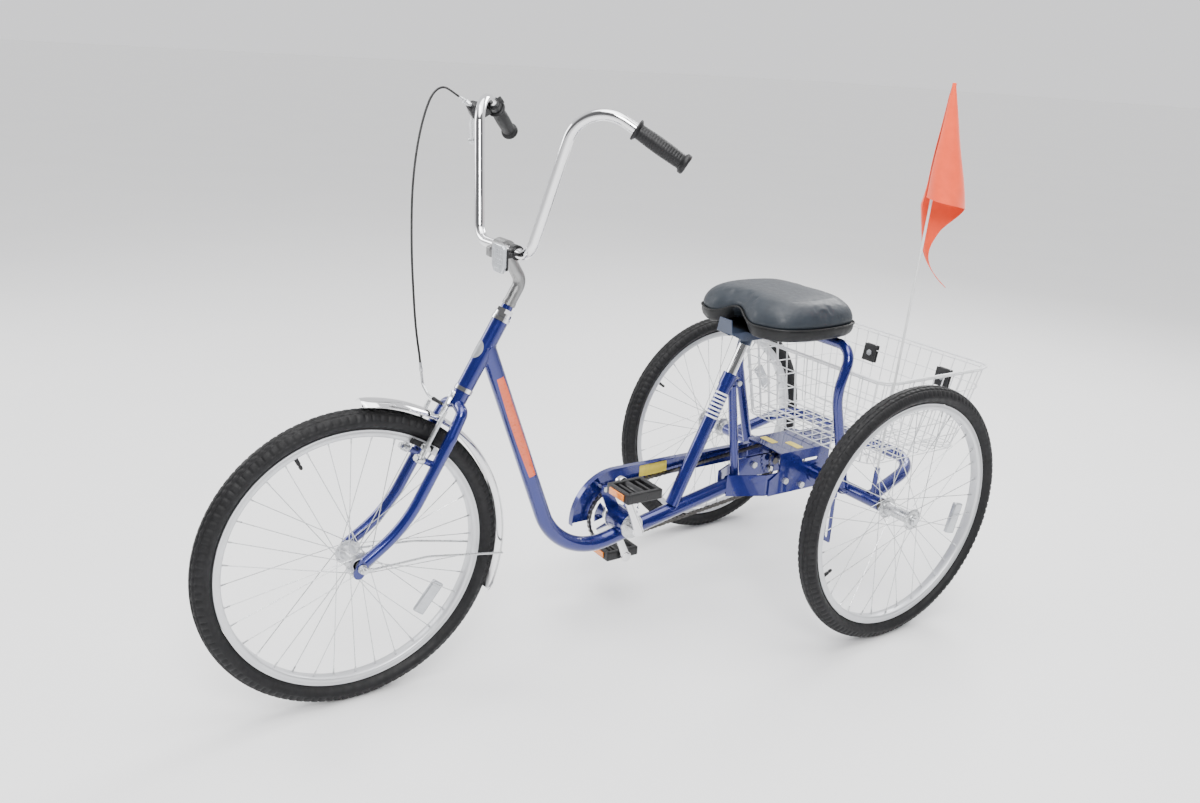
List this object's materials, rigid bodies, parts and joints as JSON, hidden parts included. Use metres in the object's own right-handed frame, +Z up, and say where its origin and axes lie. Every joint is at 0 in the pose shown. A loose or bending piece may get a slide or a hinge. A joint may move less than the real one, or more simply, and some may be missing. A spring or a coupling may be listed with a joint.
{
  "type": "adult tricycle",
  "caption": "Blue adult tricycle with chrome fender and bars, wide black seat, white wire basket and orange safety flag.",
  "frame": {"origin": "on the ground under the centre of the overall bounding box", "axes": "+Z up, the tricycle faces -Y, +X is the rider's left"},
  "size_m": [0.824, 1.9739, 1.3339],
  "materials": {
    "frame_blue": "gloss",
    "chrome": "polished",
    "cast_grey": "satin",
    "rim_alloy": "satin",
    "bright_steel": "satin",
    "dark_steel": "satin",
    "tyre_black": "matte",
    "rubber_black": "matte",
    "black_plastic": "matte",
    "reflector_clear": "gloss",
    "bracket_grey": "satin",
    "seat_vinyl": "satin",
    "basket_white": "gloss",
    "pole_white": "satin",
    "flag_orange": "matte",
    "chain_steel": "satin"
  },
  "bodies": {
    "frame": {"main_frame": "frame_blue", "bb_cups": "bright_steel", "headset_cups": "chrome", "seat_post": "chrome", "seat_bracket": "bracket_grey", "seat_cushion": "seat_vinyl", "chain_guard": "frame_blue", "rear_carriage": "frame_blue", "axle_bearings": "dark_steel", "seat_hoop": "frame_blue", "slotted_strap": "bright_steel", "frame_fasteners": "bright_steel", "basket": "basket_white", "rear_reflectors": "black_plastic", "flag_pole": "pole_white", "flag": "flag_orange", "chain": "chain_steel"},
    "steering": {"fork": "frame_blue", "headset_races": "chrome", "stem": "cast_grey", "handlebar": "chrome", "grip_left": "rubber_black", "grip_right": "rubber_black", "lever_perch": "black_plastic", "brake_noodle": "bright_steel", "brake_cable": "rubber_black", "front_fender": "chrome", "fender_stays": "bright_steel", "front_axle_and_nuts": "bright_steel", "reflector_bracket": "black_plastic", "front_reflector": "reflector_clear"},
    "front_wheel": {"front_tyre": "tyre_black", "front_rim": "rim_alloy", "front_spokes": "bright_steel", "front_hub": "rim_alloy", "front_bearings": "dark_steel", "front_wheel_reflector": "reflector_clear"},
    "brake_lever": {"brake_lever": "bright_steel"},
    "brake_arm_left": {"brake_arm_left": "bright_steel", "brake_pad_left": "rubber_black"},
    "brake_arm_right": {"brake_arm_right": "bright_steel", "brake_pad_right": "rubber_black"},
    "crankset": {"crank": "chrome", "chainring": "bright_steel", "pedal_spindles": "bright_steel"},
    "pedal_left": {"pedal_left": "black_plastic"},
    "pedal_right": {"pedal_right": "black_plastic"},
    "drive_axle": {"rear_axle_and_nuts": "bright_steel", "rear_sprocket": "dark_steel", "right_hub": "bright_steel", "right_spokes": "bright_steel", "right_rim": "rim_alloy", "right_tyre": "tyre_black", "right_wheel_reflector": "reflector_clear"},
    "left_wheel": {"left_tyre": "tyre_black", "left_rim": "rim_alloy", "left_spokes": "bright_steel", "left_hub": "bright_steel", "left_bushings": "dark_steel", "left_wheel_reflector": "reflector_clear"}
  },
  "joints": [
    {"name": "steering_turn", "type": "hinge", "parent": "frame", "child": "steering", "pos_m": [0, -0.4206, 0.65066], "axis": [0, 0.5, 0.866], "range_deg": [-45, 45]},
    {"name": "front_wheel_spin", "type": "hinge", "parent": "steering", "child": "front_wheel", "pos_m": [0, -0.66, 0.327], "axis": [1, 0, 0], "continuous": true},
    {"name": "brake_lever_pull", "type": "hinge", "parent": "steering", "child": "brake_lever", "pos_m": [-0.26477, -0.26625, 1.21907], "axis": [0.7652, 0.1848, -0.6168], "range_deg": [0, 25], "stiffness_Nm_per_rad": 2, "springref_deg": -8.59},
    {"name": "brake_arm_left_swing", "type": "hinge", "parent": "steering", "child": "brake_arm_left", "pos_m": [0.04, -0.528, 0.54062], "axis": [0, -0.866, 0.5], "range_deg": [0, 2.2]},
    {"name": "brake_arm_right_swing", "type": "hinge", "parent": "steering", "child": "brake_arm_right", "pos_m": [-0.04, -0.528, 0.54062], "axis": [0, 0.866, -0.5], "range_deg": [0, 2.2]},
    {"name": "crank_spin", "type": "hinge", "parent": "frame", "child": "crankset", "pos_m": [0, 0.02511, 0.273], "axis": [1, 0, 0], "continuous": true, "deforming": ["chain"]},
    {"name": "pedal_left_spin", "type": "hinge", "parent": "crankset", "child": "pedal_left", "pos_m": [0.13, -0.03671, 0.41186], "axis": [1, 0, 0], "continuous": true},
    {"name": "pedal_right_spin", "type": "hinge", "parent": "crankset", "child": "pedal_right", "pos_m": [-0.13, 0.08694, 0.13414], "axis": [1, 0, 0], "continuous": true},
    {"name": "drive_axle_spin", "type": "hinge", "parent": "frame", "child": "drive_axle", "pos_m": [0, 0.594, 0.327], "axis": [1, 0, 0], "continuous": true},
    {"name": "left_wheel_spin", "type": "hinge", "parent": "drive_axle", "child": "left_wheel", "pos_m": [0.3628, 0.594, 0.327], "axis": [1, 0, 0], "continuous": true}
  ],
  "couplings": [
    {"joint": "brake_arm_left_swing", "follows": "brake_lever_pull", "ratio": 0.088},
    {"joint": "brake_arm_right_swing", "follows": "brake_lever_pull", "ratio": 0.088},
    {"joint": "drive_axle_spin", "follows": "crank_spin", "ratio": 1.125}
  ]
}
